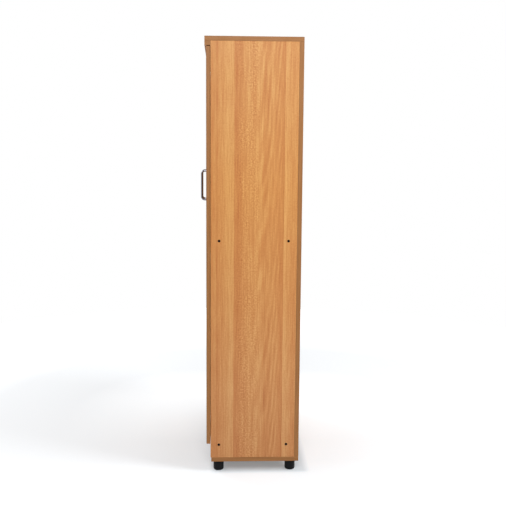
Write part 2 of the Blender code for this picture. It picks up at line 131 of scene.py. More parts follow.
# %% [markdown]
# ## Small helpers for node trees
#
# Materials and Geometry Nodes are both trees of nodes joined by links. Adding each node by hand takes
# three or four lines, which hides what a tree does. One helper adds a node, sets its options and feeds
# its inputs, from a number or from another node's output. The rest are shorthands: one step of
# arithmetic, the place of a point, a colour from a paint chart, a colour ramp, an empty group and a
# plain material.

# %% Node helpers
def node(tree, kind, inputs=None, **options):
    """Adds a node; an input is fed by a plain value or by another node's socket."""
    made = tree.nodes.new(kind)
    for option, value in options.items():
        setattr(made, option, value)
    for key, value in (inputs or {}).items():
        if isinstance(value, bpy.types.NodeSocket):
            tree.links.new(value, made.inputs[key])
        else:
            made.inputs[key].default_value = value
    return made


def calc(tree, operation, *values):
    """The result of one Math node."""
    return node(tree, "ShaderNodeMath", dict(enumerate(values)), operation=operation).outputs[0]


def in_space(tree):
    """Where the point lies on the piece's own axes, in metres."""
    return node(tree, "ShaderNodeTexCoord").outputs["Object"]


print("node helpers ready")

# %% Colour and material helpers
def srgb(red, green, blue):
    """A colour as a paint chart gives it, 0 to 255, in the linear values that shaders use."""
    def linear(value):
        value /= 255
        return value / 12.92 if value <= 0.04045 else ((value + 0.055) / 1.055) ** 2.4

    return (linear(red), linear(green), linear(blue), 1.0)


def ramp(tree, value, stops):
    """A colour ramp with (position, colour) stops."""
    made = node(tree, "ShaderNodeValToRGB", {"Fac": value})
    elements = made.color_ramp.elements
    while len(elements) < len(stops):
        elements.new(1.0)
    for element, (position, colour) in zip(elements, stops):
        element.position = position
        element.color = colour
    return made.outputs["Color"]


def group(name, inputs, outputs):
    """An empty shader group with float inputs, and its two ends."""
    tree = bpy.data.node_groups.new(name, "ShaderNodeTree")
    for socket, default in inputs.items():
        made = tree.interface.new_socket(socket, in_out="INPUT", socket_type="NodeSocketFloat")
        made.default_value = default
    for socket, kind in outputs.items():
        tree.interface.new_socket(socket, in_out="OUTPUT", socket_type=kind)
    return tree, tree.nodes.new("NodeGroupInput").outputs, tree.nodes.new("NodeGroupOutput").inputs


def finish(name, **values):
    """A Principled material with constant values on its own sockets."""
    material = bpy.data.materials.new(name)
    material.use_nodes = True
    tree = material.node_tree
    shader = tree.nodes["Principled BSDF"]
    for socket, value in values.items():
        shader.inputs[socket.replace("_", " ")].default_value = value
    return material, tree, shader


print("material helpers ready")

# %% [markdown]
# ## The beech print
#
# The board's face is paper printed with beech planks and sealed in resin. The print repeats across the
# board: a light narrow plank, a wide one with specks in its middle and leaning growth rings beside them,
# and a pale one. An image texture would be the usual way, and a wood noise the quick one. Here the print
# is built as the printer drew it: a tone for every plank and streak across the board, noise stretched
# along the grain for the fibres, rings worked out as a curve, and short dark flecks for the pores. It
# becomes a node group, so that every board can use it with its own shift along and across.
#
# The group reads two distances in metres, along and across the grain, which each board carries as an
# attribute. A pattern that follows the board then needs no image and no unwrapping.

# %% Planks of the print
PRINT_REPEAT = 0.396
NARROW_PLANK_END, WIDE_PLANK_END = 0.096, 0.300
JOINT = 0.0006
# Place across the print, and its tone from 0, light, to 1, red
PLANK_TONES = (
    (0.000, 0.60), (0.014, 0.54), (0.022, 0.56), (0.026, 0.80), (0.031, 0.52), (0.056, 0.42), (0.068, 0.33),
    (NARROW_PLANK_END - JOINT, 0.28), (NARROW_PLANK_END, 0.72), (0.114, 0.75), (0.132, 0.58),
    (0.152, 0.38), (0.172, 0.50), (0.186, 0.36), (0.208, 0.38), (0.226, 0.62), (0.248, 0.46), (0.268, 0.52),
    (0.288, 0.60), (WIDE_PLANK_END - JOINT, 0.74), (WIDE_PLANK_END, 0.20), (0.312, 0.28),
    (0.326, 0.45), (0.346, 0.52), (0.368, 0.50), (PRINT_REPEAT, 0.60),
)
PLANK_SEED_STEP = 7.3

plank_print, given, gives = group(
    "plank print",
    {"Along": 0.0, "Across": 0.0, "Seed": 0.0},
    {"Colour": "NodeSocketColor", "Fibre": "NodeSocketFloat"},
)
along, across, seed = given["Along"], given["Across"], given["Seed"]
maths = partial(calc, plank_print)
in_print = maths("WRAP", across, PRINT_REPEAT, 0.0)
grey = [(place / PRINT_REPEAT, (tone, tone, tone, 1.0)) for place, tone in PLANK_TONES]
plank_tone = ramp(plank_print, maths("DIVIDE", in_print, PRINT_REPEAT), grey)
past_narrow = maths("GREATER_THAN", in_print, NARROW_PLANK_END)
plank = maths("ADD", past_narrow, maths("GREATER_THAN", in_print, WIDE_PLANK_END))
plank_seed = maths("MULTIPLY_ADD", plank, PLANK_SEED_STEP, seed)
print("the print repeats every", PRINT_REPEAT, "m, in", len(PLANK_TONES), "tones")

# %% Fibres along the grain
# Noise cells per metre across and along the grain, and the noise's detail
DRIFT_CELLS, BROAD_CELLS, FINE_CELLS = (5.0, 1.3, 1.0), (70.0, 1.1, 2.0), (210.0, 9.0, 3.0)
DRIFT_WIDTH = 0.018


def fibres(tree, across, along, seed, cells):
    """Noise drawn out along the grain, as a value around zero."""
    across_rate, along_rate, detail = cells
    point = node(tree, "ShaderNodeCombineXYZ", {
        "X": calc(tree, "MULTIPLY", across, across_rate),
        "Y": calc(tree, "MULTIPLY", along, along_rate),
        "Z": seed,
    })
    noise = node(tree, "ShaderNodeTexNoise", {"Vector": point.outputs[0], "Scale": 1.0, "Detail": detail})
    return calc(tree, "SUBTRACT", noise.outputs[0], 0.5)


drift = maths("MULTIPLY", fibres(plank_print, across, along, plank_seed, DRIFT_CELLS), DRIFT_WIDTH)
wandering = maths("ADD", across, drift)
broad = fibres(plank_print, wandering, along, plank_seed, BROAD_CELLS)
fine = fibres(plank_print, wandering, along, plank_seed, FINE_CELLS)
print("fibres wander over", DRIFT_WIDTH, "m")

# %% Growth rings
RING_CENTRE, RING_HALF_WIDTH, RING_RISE, RINGS_PER_ARCH = 0.144, 0.0675, 2.05, 3
RING_BOWL, RING_WAVER, WAVER_CELLS = 0.36, 0.6, (14.0, 2.6, 2.0)
RING_FADE_CELLS, RING_FADE_RANGE = (34.0, 3.0, 1.0), (-0.20, 0.16)
FLANK_START, FLANK_FULL, FLANK_FADE = 0.168, 0.206, 0.272


def between(tree, value, low, high):
    """0 at low and 1 at high, held at the ends."""
    return node(tree, "ShaderNodeMapRange", {"Value": value, "From Min": low, "From Max": high}).outputs[0]


def stretch(tree, value, start, full, fade, end):
    """1 from full to fade, with a slope up from start and down to end."""
    return calc(tree, "MULTIPLY", between(tree, value, start, full), between(tree, value, end, fade))


scatter = partial(fibres, plank_print, across, along, seed)
off_centre = maths("DIVIDE", maths("SUBTRACT", in_print, RING_CENTRE), RING_HALF_WIDTH)
bowl = maths("MULTIPLY", maths("MULTIPLY", off_centre, off_centre), -RING_BOWL)
climb = maths("MULTIPLY_ADD", along, RING_RISE, bowl)
uneven = maths("MULTIPLY_ADD", scatter(WAVER_CELLS), RING_WAVER, climb)
rings = maths("SINE", maths("MULTIPLY", uneven, 2 * math.pi * RINGS_PER_ARCH))
flank = stretch(plank_print, in_print, FLANK_START, FLANK_FULL, FLANK_FADE, WIDE_PLANK_END)
ring_strength = between(plank_print, scatter(RING_FADE_CELLS), *RING_FADE_RANGE)
ring_tone = maths("MULTIPLY", maths("MULTIPLY", rings, flank), ring_strength)
print("growth rings from", FLANK_START, "to", WIDE_PLANK_END, "m across the print")

# %% Specks and pores
SPECKLE_START, SPECKLE_FULL, SPECKLE_FADE, SPECKLE_END = 0.100, 0.122, 0.178, 0.206
SPECKLE_CELLS, SPECKLE_LEAST, SPECKLE_MORE = (160.0, 150.0, 1.0), 0.42, 1.30
PATCH_CELLS, PATCH_RANGE = (26.0, 7.0, 1.0), (-0.16, 0.12)
PORE_CELLS, PORE_RANGE = (420.0, 62.0, 1.0), (0.10, 0.24)

speckled = stretch(plank_print, in_print, SPECKLE_START, SPECKLE_FULL, SPECKLE_FADE, SPECKLE_END)
speckled = maths("MULTIPLY", speckled, between(plank_print, scatter(PATCH_CELLS), *PATCH_RANGE))
speckle = scatter(SPECKLE_CELLS)
speckle_share = maths("MULTIPLY_ADD", speckled, SPECKLE_MORE, SPECKLE_LEAST)
pores = between(plank_print, scatter(PORE_CELLS), *PORE_RANGE)
print("specks from", SPECKLE_START, "to", SPECKLE_END, "m across the print")

# %% Mix the print
BROAD_SHARE, FINE_SHARE, RING_SHARE, PORE_SHARE = 0.52, 1.00, 0.205, 0.20
LIGHT_BEECH, MID_BEECH, RED_BEECH = srgb(229, 175, 108), srgb(211, 146, 84), srgb(193, 119, 64)

tone = plank_tone
for layer, share in (
    (broad, BROAD_SHARE), (fine, FINE_SHARE), (ring_tone, RING_SHARE), (speckle, speckle_share),
    (pores, PORE_SHARE),
):
    tone = maths("MULTIPLY_ADD", layer, share, tone)
colour = ramp(plank_print, tone, ((0.0, LIGHT_BEECH), (0.5, MID_BEECH), (1.0, RED_BEECH)))
plank_print.links.new(colour, gives["Colour"])
plank_print.links.new(maths("SUBTRACT", fine, pores), gives["Fibre"])
print("plank print:", len(plank_print.nodes), "nodes")

# %% [markdown]
# ## Handling haze
#
# No surface of a used wardrobe is evenly shiny: hands, dust and cleaning leave cloudy patches. That
# shows as a slow change of roughness, so a second small group turns noise on object coordinates into a
# roughness between two limits. Board, metal and plastic share it with their own values.

# %% The haze group
NOISE_LOW, NOISE_HIGH = 0.3, 0.7

haze, given, gives = group(
    "handling haze",
    {"Patch Size": 0.05, "Least": 0.3, "Most": 0.4},
    {"Roughness": "NodeSocketFloat"},
)
patches = node(haze, "ShaderNodeTexNoise", {
    "Vector": in_space(haze),
    "Scale": calc(haze, "DIVIDE", 1.0, given["Patch Size"]),
    "Detail": 3.0,
})
spread = node(haze, "ShaderNodeMapRange", {
    "Value": patches.outputs[0], "From Min": NOISE_LOW, "From Max": NOISE_HIGH,
    "To Min": given["Least"], "To Max": given["Most"],
})
haze.links.new(spread.outputs[0], gives["Roughness"])


def add_haze(tree, shader, patch_size, least, most):
    """Places the haze group in a material and joins it to the roughness."""
    made = node(tree, "ShaderNodeGroup", node_tree=haze)
    for socket, value in (("Patch Size", patch_size), ("Least", least), ("Most", most)):
        made.inputs[socket].default_value = value
    tree.links.new(made.outputs[0], shader.inputs["Roughness"])


print("haze group:", len(haze.nodes), "nodes")

# %% [markdown]
# ## Three finishes for one board
#
# A laminated board shows three things. Its faces have the print. Its edges are covered by a glued
# strip, the edge band, which is browner and only has straight streaks. Where a hole is bored, the
# pressed wood chips of the core come to light. Each is a material of its own on the same mesh, and all
# of them read the board's grain attribute: along, across and a seed. The print's colour is also tinted
# by height, yellower at the middle and pinker at the foot. This is painted light: the colour of the
# warm lamp above, and of the light bounced from the white floor below.

# %% The printed face
# Painted light by height: a share of the wardrobe's height, and the colour of the light there
PAINTED_LIGHT_TINT = (
    (0.02, (0.96, 0.92, 1.05, 1.0)), (0.20, (1.03, 1.02, 1.15, 1.0)), (0.40, (1.03, 0.99, 0.98, 1.0)),
    (0.66, (1.04, 1.00, 0.88, 1.0)), (0.93, (1.00, 1.00, 1.00, 1.0)),
)
BUMP_DEPTH = 0.0002


def grain_sockets(tree):
    """Along, across and seed, from the attribute that every board carries."""
    grain = node(tree, "ShaderNodeAttribute", attribute_name="grain")
    return node(tree, "ShaderNodeSeparateXYZ", {0: grain.outputs["Vector"]}).outputs


def add_bump(tree, shader, height, strength):
    """Joins a height to the shader's normal."""
    bump = node(tree, "ShaderNodeBump", {"Strength": strength, "Distance": BUMP_DEPTH, "Height": height})
    tree.links.new(bump.outputs[0], shader.inputs["Normal"])


beech_face, tree, shader = finish("beech_face", Specular_IOR_Level=0.36)
grain = grain_sockets(tree)
printed = node(tree, "ShaderNodeGroup", node_tree=plank_print)
for socket, source in zip(("Along", "Across", "Seed"), grain):
    tree.links.new(source, printed.inputs[socket])
# The print's colour is multiplied by the painted light tint for its height.
height = node(tree, "ShaderNodeSeparateXYZ", {0: in_space(tree)}).outputs["Z"]
drift = ramp(tree, calc(tree, "DIVIDE", height, cad_box[1][2]), PAINTED_LIGHT_TINT)
tinted = node(tree, "ShaderNodeVectorMath", {
    0: printed.outputs["Colour"], 1: drift,
}, operation="MULTIPLY")
tree.links.new(tinted.outputs[0], shader.inputs["Base Color"])
add_bump(tree, shader, printed.outputs["Fibre"], strength=0.10)
add_haze(tree, shader, patch_size=0.12, least=0.48, most=0.60)
print("printed face:", len(tree.nodes), "nodes round the print")

# %% The edge band
BAND_LIGHT, BAND_DARK = srgb(176, 122, 71), srgb(150, 99, 53)
STREAK_CELLS, STREAK_SHARE, STREAK_MIDDLE = (330.0, 6.0, 3.0), 1.6, 0.5

beech_band, tree, shader = finish("beech_band", Specular_IOR_Level=0.35)
grain = grain_sockets(tree)
streak = fibres(tree, grain["Y"], grain["X"], grain["Z"], STREAK_CELLS)
band_tone = calc(tree, "MULTIPLY_ADD", streak, STREAK_SHARE, STREAK_MIDDLE)
tree.links.new(ramp(tree, band_tone, ((0.1, BAND_LIGHT), (0.9, BAND_DARK))), shader.inputs["Base Color"])
add_bump(tree, shader, streak, strength=0.12)
add_haze(tree, shader, patch_size=0.06, least=0.42, most=0.56)
print("edge band:", len(tree.nodes), "nodes")

# %% The bored core
CHIPS_PER_METRE = 700.0
CHIP_TONES = ((0.0, srgb(120, 88, 56)), (0.6, srgb(172, 132, 88)), (1.0, srgb(196, 160, 112)))

chip_core, tree, shader = finish("chip_core", Roughness=0.9)
chips = node(tree, "ShaderNodeTexVoronoi", {"Vector": in_space(tree), "Scale": CHIPS_PER_METRE})
tree.links.new(ramp(tree, chips.outputs["Color"], CHIP_TONES), shader.inputs["Base Color"])
print("bored core:", len(tree.nodes), "nodes")

# %% [markdown]
# ## Metal and plastic
#
# The hanging rail is bright chrome, the handles smoked chrome, the hinges and screws nickelled, the cam
# locks cast zinc, the feet moulded in black plastic and the screw caps in brown. Metal gets most of its
# look from what it mirrors, so its colour stays plain and the haze does the rest. Plastic has a fine
# moulded grain, a tiny bump.

# %% Metal and plastic materials
TOUCH_PATCH = 0.02
SKIN_CELLS_PER_METRE = 900.0


def metal(name, colour, least, most):
    """Metal of a plain colour, its roughness between two limits."""
    material, tree, shader = finish(name, Base_Color=colour, Metallic=1.0)
    add_haze(tree, shader, TOUCH_PATCH, least, most)
    return material


def moulded(name, dark, light, least, most):
    """Plastic with the fine grain of its mould."""
    material, tree, shader = finish(name, Specular_IOR_Level=0.12)
    skin = node(tree, "ShaderNodeTexNoise", {
        "Vector": in_space(tree), "Scale": SKIN_CELLS_PER_METRE, "Detail": 2.0,
    })
    colour = ramp(tree, skin.outputs[0], ((NOISE_LOW, dark), (NOISE_HIGH, light)))
    tree.links.new(colour, shader.inputs["Base Color"])
    add_bump(tree, shader, skin.outputs[0], strength=0.15)
    add_haze(tree, shader, TOUCH_PATCH, least, most)
    return material


chrome = metal("polished_chrome", srgb(172, 171, 175), least=0.10, most=0.20)
smoked_chrome = metal("smoked_chrome", srgb(132, 131, 138), least=0.12, most=0.22)
nickel = metal("nickel_plate", srgb(196, 192, 186), least=0.24, most=0.38)
zinc = metal("cast_zinc", srgb(164, 164, 166), least=0.38, most=0.52)
black_plastic = moulded("black_plastic", srgb(16, 16, 17), srgb(24, 24, 26), least=0.38, most=0.52)
brown_plastic = moulded("brown_plastic", srgb(13, 6, 3), srgb(20, 10, 6), least=0.45, most=0.60)
print("metals and plastics ready")

# %% [markdown]
# ## Fitting a piece to the frame
#
# Every finished piece says two things to the frame: which body it moves with, and which plain solids
# it stands for. One helper says both. The others make an object from a mesh, left at the origin, turn
# modifiers into plain mesh, clear helper objects away, shade a mesh and find the middle of a node.

# %% Piece helpers
SMOOTH_ANGLE = math.radians(35)


def as_piece(name, mesh):
    """An object for a mesh, left at the origin."""
    made = bpy.data.objects.new(name, mesh)
    scene.collection.objects.link(made)
    return made


def fit(piece, body, slot, *nodes):
    """The piece moves with the body and stands for these solids; the slot is not used."""
    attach(piece, body)
    if nodes:
        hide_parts(*nodes)


def settled(piece):
    """The piece with its modifiers turned into plain mesh."""
    depsgraph = bpy.context.evaluated_depsgraph_get()
    mesh = bpy.data.meshes.new_from_object(piece.evaluated_get(depsgraph))
    piece.modifiers.clear()
    piece.data = mesh
    return piece


def drop(*pieces):
    """Removes helper objects that have done their work."""
    for piece in pieces:
        bpy.data.objects.remove(piece, do_unlink=True)


def mesh_from(name, shape):
    """A mesh from a bmesh, which is then freed."""
    mesh = bpy.data.meshes.new(name)
    shape.to_mesh(mesh)
    shape.free()
    return mesh


def smooth(mesh):
    """Shades a mesh smooth and keeps its corners sharp."""
    mesh.shade_smooth()
    mesh.set_sharp_from_angle(angle=SMOOTH_ANGLE)


def middle_of(node_name):
    """The middle of a node's box."""
    low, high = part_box(node_name)
    return (low + high) / 2


print("piece helpers ready")

# %% [markdown]
# ## Setting out repeats with Geometry Nodes
#
# Screws, caps, pins and feet are the same shape in many places. Copying objects in a loop works, but a
# Geometry Nodes tree states the rule once: put this fitting on every point, turned to face the way the
# point says. The points are the vertices of a bare mesh, and the direction is an attribute on them. The
# tree ends in Realize Instances, because only real mesh leaves Blender with the part.

# %% Helpers for Geometry Nodes
def geometry_tree(name, inputs):
    """An empty Geometry Nodes tree with a geometry, named inputs of a kind and a material."""
    tree = bpy.data.node_groups.new(name, "GeometryNodeTree")
    for socket, kind in {"Geometry": "Geometry", **inputs, "Material": "Material"}.items():
        tree.interface.new_socket(socket, in_out="INPUT", socket_type=f"NodeSocket{kind}")
    tree.interface.new_socket("Geometry", in_out="OUTPUT", socket_type="NodeSocketGeometry")
    return tree, tree.nodes.new("NodeGroupInput").outputs, tree.nodes.new("NodeGroupOutput").inputs


def close_tree(tree, geometry, given, result):
    """Realizes the instances, sets the given material and ends the tree."""
    real = node(tree, "GeometryNodeRealizeInstances", {0: geometry})
    painted = node(tree, "GeometryNodeSetMaterial", {
        "Geometry": real.outputs[0], "Material": given["Material"],
    })
    tree.links.new(painted.outputs[0], result["Geometry"])


def run_tree(name, tree, start, inputs):
    """Runs a tree on a start mesh and keeps the result as a plain mesh piece."""
    made = as_piece(name, start)
    modifier = made.modifiers.new("nodes", "NODES")
    modifier.node_group = tree
    for socket in tree.interface.items_tree:
        if socket.in_out == "INPUT" and socket.name in inputs:
            modifier[socket.identifier] = inputs[socket.name]
    return settled(made)


def marks(places):
    """A mesh of bare points, each with the direction that its fitting faces."""
    mesh = bpy.data.meshes.new("marks")
    mesh.from_pydata([place for place, _ in places], [], [])
    facing = mesh.attributes.new("facing", "FLOAT_VECTOR", "POINT")
    for entry, (_, direction) in zip(facing.data, places):
        entry.vector = direction
    return mesh


def on_marks(tree, points, fitting):
    """Instances of a fitting on the points, its own Z turned to each point's facing."""
    facing = node(tree, "GeometryNodeInputNamedAttribute", {"Name": "facing"}, data_type="FLOAT_VECTOR")
    turn = node(tree, "FunctionNodeAlignRotationToVector", {"Vector": facing.outputs[0]}, axis="Z")
    placed = node(tree, "GeometryNodeInstanceOnPoints", {
        "Points": points, "Instance": fitting, "Rotation": turn.outputs[0],
    })
    return placed.outputs[0]


print("tree helpers ready")

# %% The setting-out tree
set_out, given, result = geometry_tree("set out fittings", {"Fitting": "Object"})
fitting = node(set_out, "GeometryNodeObjectInfo", {"Object": given["Fitting"]})
copies = on_marks(set_out, given["Geometry"], fitting.outputs["Geometry"])
close_tree(set_out, copies, given, result)
print("setting-out tree:", len(set_out.nodes), "nodes")

# %% [markdown]
# ## Round shapes from a profile
#
# Feet, pins, caps and the rail are turned shapes. The profile is drawn as points of height and radius,
# and Blender's spin tool carries it round. Where the profile meets the axis, the copies of its end are
# merged into one pole, and the normals are worked out again, because a spin can leave them inside out.

# %% The lathe helpers
MERGE = 1e-6


def lathe(name, profile, sides):
    """A closed turned mesh round Z, from (height, radius) points."""
    shape = bmesh.new()
    points = [shape.verts.new((radius, 0.0, height)) for height, radius in profile]
    edges = [shape.edges.new(pair) for pair in zip(points, points[1:])]
    bmesh.ops.spin(
        shape, geom=points + edges, cent=(0, 0, 0), axis=(0, 0, 1), angle=2 * math.pi, steps=sides,
    )
    bmesh.ops.remove_doubles(shape, verts=shape.verts, dist=MERGE)
    bmesh.ops.recalc_face_normals(shape, faces=shape.faces)
    mesh = mesh_from(name, shape)
    smooth(mesh)
    return mesh


def quarter(height, radius, size, start, steps):
    """Points of a quarter round on a profile, from the start angle, a quarter turn on."""
    turns = [start + math.pi / 2 * i / steps for i in range(steps + 1)]
    return [(height + size * math.sin(turn), radius + size * math.cos(turn)) for turn in turns]


def turned_on_marks(name, profile, places, material, sides):
    """One turned shape, set out on every mark as a single piece."""
    shape = as_piece(f"{name}_shape", lathe(name, profile, sides))
    made = run_tree(name, set_out, marks(places), {"Fitting": shape, "Material": material})
    drop(shape)
    return made


print("lathe ready")

# %% [markdown]
# ## Boards
#
# Each board starts as a box from its node. Its arrises are eased with a bevel, because a sharp edge
# never catches the light and looks false. Holes are cut by a Boolean with a mesh of cutters. Then every
# face is given its material by the way it points, and every corner its grain attribute: faces run
# along the board's grain, edge bands along their own length, and faces inside a hole show the core.

# %% Boxes with eased edges
ARRIS, DOOR_ROUND = 0.0004, 0.0022


def eased_box(low, high, front_round):
    """A box with eased arrises; with a front round, the edges of its front face are rounder."""
    shape = bmesh.new()
    bmesh.ops.create_cube(shape, size=1.0)
    middle, size = (low + high) / 2, high - low
    for vert in shape.verts:
        vert.co = Vector(middle[i] + vert.co[i] * size[i] for i in range(3))
    eased = shape.edges[:]
    if front_round:
        front = [edge for edge in eased if all(vert.co.y < middle.y for vert in edge.verts)]
        eased = [edge for edge in eased if all(vert.co.y > middle.y for vert in edge.verts)]
        bmesh.ops.bevel(shape, geom=front, offset=front_round, segments=4, profile=0.5, affect="EDGES")
    bmesh.ops.bevel(shape, geom=eased, offset=ARRIS, segments=2, profile=0.5, affect="EDGES")
    return shape


print("arrises eased by", ARRIS, "m, door fronts by", DOOR_ROUND, "m")

# %% Faces, bands and core
CORE_DEPTH = 0.004
FLAT_FACING = 0.999
# The three material slots of a board
FACE, BAND, CORE = range(3)


def lay_grain(mesh, low, high, grain_axis, shift):
    """Sorts the faces into face, band and core, and stores the grain attribute."""
    size = high - low
    thin = min(range(3), key=lambda axis: size[axis])
    flat = [axis for axis in range(3) if axis != thin]
    grain = mesh.attributes.new("grain", "FLOAT_VECTOR", "CORNER")
    for face in mesh.polygons:
        normal = max(range(3), key=lambda axis: abs(face.normal[axis]))
        inset = min(min(face.center[axis] - low[axis], high[axis] - face.center[axis]) for axis in flat)
        sunk = min(face.center[thin] - low[thin], high[thin] - face.center[thin])
        if abs(face.normal[thin]) > FLAT_FACING:
            along = grain_axis
            face.material_index = CORE if sunk > CORE_DEPTH else FACE
        else:
            normal = max(flat, key=lambda axis: abs(face.normal[axis]))
            along = max((axis for axis in range(3) if axis != normal), key=lambda axis: size[axis])
            face.material_index = CORE if inset > CORE_DEPTH else BAND
        across = next(axis for axis in range(3) if axis not in (along, normal))
        for corner in face.loop_indices:
            point = mesh.vertices[mesh.loops[corner].vertex_index].co
            grain.data[corner].vector = (
                point[along] - low[along] + shift[0], point[across] - low[across] + shift[1], shift[2],
            )


print("core shows deeper than", CORE_DEPTH, "m")

# %% The board maker
def board(node_name, grain_axis, shift, cutter=None, slot="board", front_round=None):
    """A banded board in the place of a node, with its grain along an axis (0, 1 or 2)."""
    low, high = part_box(node_name)
    made = as_piece(f"{node_name}_banded", mesh_from(node_name, eased_box(low, high, front_round)))
    if cutter:
        bores = made.modifiers.new("bores", "BOOLEAN")
        bores.operation = "DIFFERENCE"
        bores.solver = "EXACT"
        bores.object = cutter
        settled(made)
    made.data.materials.clear()
    for material in (beech_face, beech_band, chip_core):
        made.data.materials.append(material)
    lay_grain(made.data, low, high, grain_axis, shift)
    fit(made, body_of[node_name], slot, node_name)
    return made


print("board maker ready")

# %% [markdown]
# ## Rows of shelf-pin holes
#
# The partition and the right-hand side are drilled with rows of 5 mm holes, 32 mm apart, so that a
# loose shelf can be moved up or down. A Geometry Nodes tree makes the drill bits for one row and sets
# the row out at each start point; the result is a cutter for the board's Boolean, and is then removed.

# %% The pin-hole tree
PIN_HOLE_PITCH, PIN_HOLE_RADIUS, PIN_HOLE_DEPTH = 0.032, 0.0027, 0.0095
PIN_HOLES_EACH_WAY, PIN_HOLE_SIDES = 3, 24

pin_rows, given, result = geometry_tree("rows of pin holes", {
    "Pitch": "Float", "Count": "Int", "Radius": "Float", "Depth": "Float",
})
step = node(pin_rows, "ShaderNodeCombineXYZ", {"Z": given["Pitch"]})
row = node(pin_rows, "GeometryNodeMeshLine", {"Count": given["Count"], "Offset": step.outputs[0]})
bit = node(pin_rows, "GeometryNodeMeshCylinder", {
    "Vertices": PIN_HOLE_SIDES, "Radius": given["Radius"],
    "Depth": calc(pin_rows, "MULTIPLY", given["Depth"], 2.0),
})
level_bit = node(pin_rows, "GeometryNodeTransform", {
    "Geometry": bit.outputs["Mesh"], "Rotation": (0.0, math.pi / 2, 0.0),
})
bits = node(pin_rows, "GeometryNodeInstanceOnPoints", {
    "Points": row.outputs[0], "Instance": level_bit.outputs[0],
})
rows = node(pin_rows, "GeometryNodeInstanceOnPoints", {
    "Points": given["Geometry"], "Instance": bits.outputs[0],
})
close_tree(pin_rows, rows.outputs[0], given, result)


def pin_hole_cutter(name, face_x, hand):
    """Drill bits for every row on one face, round the pins that are fitted there."""
    starts = []
    for shelf in ("lower", "upper"):
        for end in ("front", "rear"):
            middle = middle_of(f"{shelf}_shelf_pin_{end}_{hand}")
            starts.append(((face_x, middle.y, middle.z - PIN_HOLES_EACH_WAY * PIN_HOLE_PITCH), (1, 0, 0)))
    return run_tree(name, pin_rows, marks(starts), {
        "Pitch": PIN_HOLE_PITCH, "Count": 2 * PIN_HOLES_EACH_WAY + 1, "Radius": PIN_HOLE_RADIUS,
        "Depth": PIN_HOLE_DEPTH, "Material": chip_core,
    })


print("pin-hole tree:", len(pin_rows.nodes), "nodes")

# %% [markdown]
# ## The carcass boards
#
# Uprights have their grain up and down, everything that lies flat has it from side to side, as a maker
# cuts them. Each board takes a different stretch of the print, so no two show the same arches. The
# right side starts at the print's own edge: that puts its plank joints where the picture shows them.

# %% Make the carcass boards
SIDEWAYS, UPRIGHT = 0, 2
# Node, axis of the grain, and where its stretch of the print starts: along, across and a seed
CARCASS_BOARDS = (
    ("right_side_panel", UPRIGHT, 0.0, 0.000, 1.0),
    ("partition_panel", UPRIGHT, 3.1, 0.210, 5.0),
    ("left_side_panel", UPRIGHT, 5.7, 0.120, 9.0),
    ("back_panel", UPRIGHT, 8.4, 0.050, 13.0),
    ("top_panel", SIDEWAYS, 11.2, 0.300, 17.0),
    ("cornice_strip", SIDEWAYS, 13.6, 0.010, 21.0),
    ("base_panel", SIDEWAYS, 15.9, 0.160, 25.0),
    ("plinth_board", SIDEWAYS, 17.3, 0.330, 29.0),
    ("deck_shelf", SIDEWAYS, 19.8, 0.040, 33.0),
    ("middle_shelf", SIDEWAYS, 22.1, 0.250, 37.0),
    ("lower_loose_shelf", SIDEWAYS, 24.5, 0.110, 41.0),
    ("upper_loose_shelf", SIDEWAYS, 26.9, 0.360, 45.0),
)

partition_low, partition_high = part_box("partition_panel")
drill_bits = {
    "right_side_panel": pin_hole_cutter("side_drill_bits", side_low.x, "right"),
    "partition_panel": pin_hole_cutter("partition_drill_bits", partition_high.x, "left"),
}
for name, grain_axis, *shift in CARCASS_BOARDS:
    board(name, grain_axis, shift, drill_bits.get(name))
drop(*drill_bits.values())
print(len(CARCASS_BOARDS), "carcass boards made")

# %% [markdown]
# ## The doors
#
# The two doors are cut from one length of board, so the print runs on from one to the other. Their
# edges are rounder than the carcass edges. Behind each hinge a well is milled for the hinge cup; it is
# a turned cutter set out at the three hinges, and taken out of the door's back.

# %% Make the doors
WELL_CLEARANCE = 0.0003
DOOR_PRINT_ALONG, DOOR_PRINT_ACROSS, DOOR_SEED = 29.3, 0.170, 49.0


def hinge_nodes(hand, part):
    """The names of one part of a door's three hinges, from the lowest up."""
    return [f"{hand}_{place}_hinge_{part}" for place in ("lower", "middle", "upper")]


def well_cutter(hand):
    """Turned cutters for the three cup wells of one door."""
    _, door_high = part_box(f"{hand}_door")
    cups = hinge_nodes(hand, "cup")
    places = [((middle_of(cup).x, door_high.y, middle_of(cup).z), (0, -1, 0)) for cup in cups]
    low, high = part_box(cups[-1])
    radius = (high.x - low.x) / 2 + WELL_CLEARANCE
    depth = door_high.y - low.y + WELL_CLEARANCE
    profile = ((-depth, 0.0), (-depth, radius), (depth, radius), (depth, 0.0))
    return turned_on_marks(f"{hand}_wells", profile, places, chip_core, sides=48)


left_door_low, left_door_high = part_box("left_door")
door_width = left_door_high.x - left_door_low.x
for hand, run_on in (("left", 0.0), ("right", door_width)):
    wells = well_cutter(hand)
    shift = (DOOR_PRINT_ALONG, DOOR_PRINT_ACROSS + run_on, DOOR_SEED)
    board(f"{hand}_door", UPRIGHT, shift, wells, "door_board", DOOR_ROUND)
    drop(wells)
print("doors made,", round(door_width, 4), "m wide each")

# %% [markdown]
# ## Shelf pins, capped screws and feet
#
# Three turned fittings, each drawn once and set out on marks taken from the nodes that it stands for.
# A pin has a thin collar against the panel and a rounded end. A side screw is closed by a brown cap,
# whose lip covers the rim of the bore and stands a hair proud of the board. A foot is a plain black
# cylinder with a wide round at the floor.

# %% Set out the shelf pins
PIN_COLLAR_RADIUS, PIN_COLLAR_START, PIN_COLLAR_END = 0.0036, 0.0001, 0.0007
PIN_ROUND = 0.001

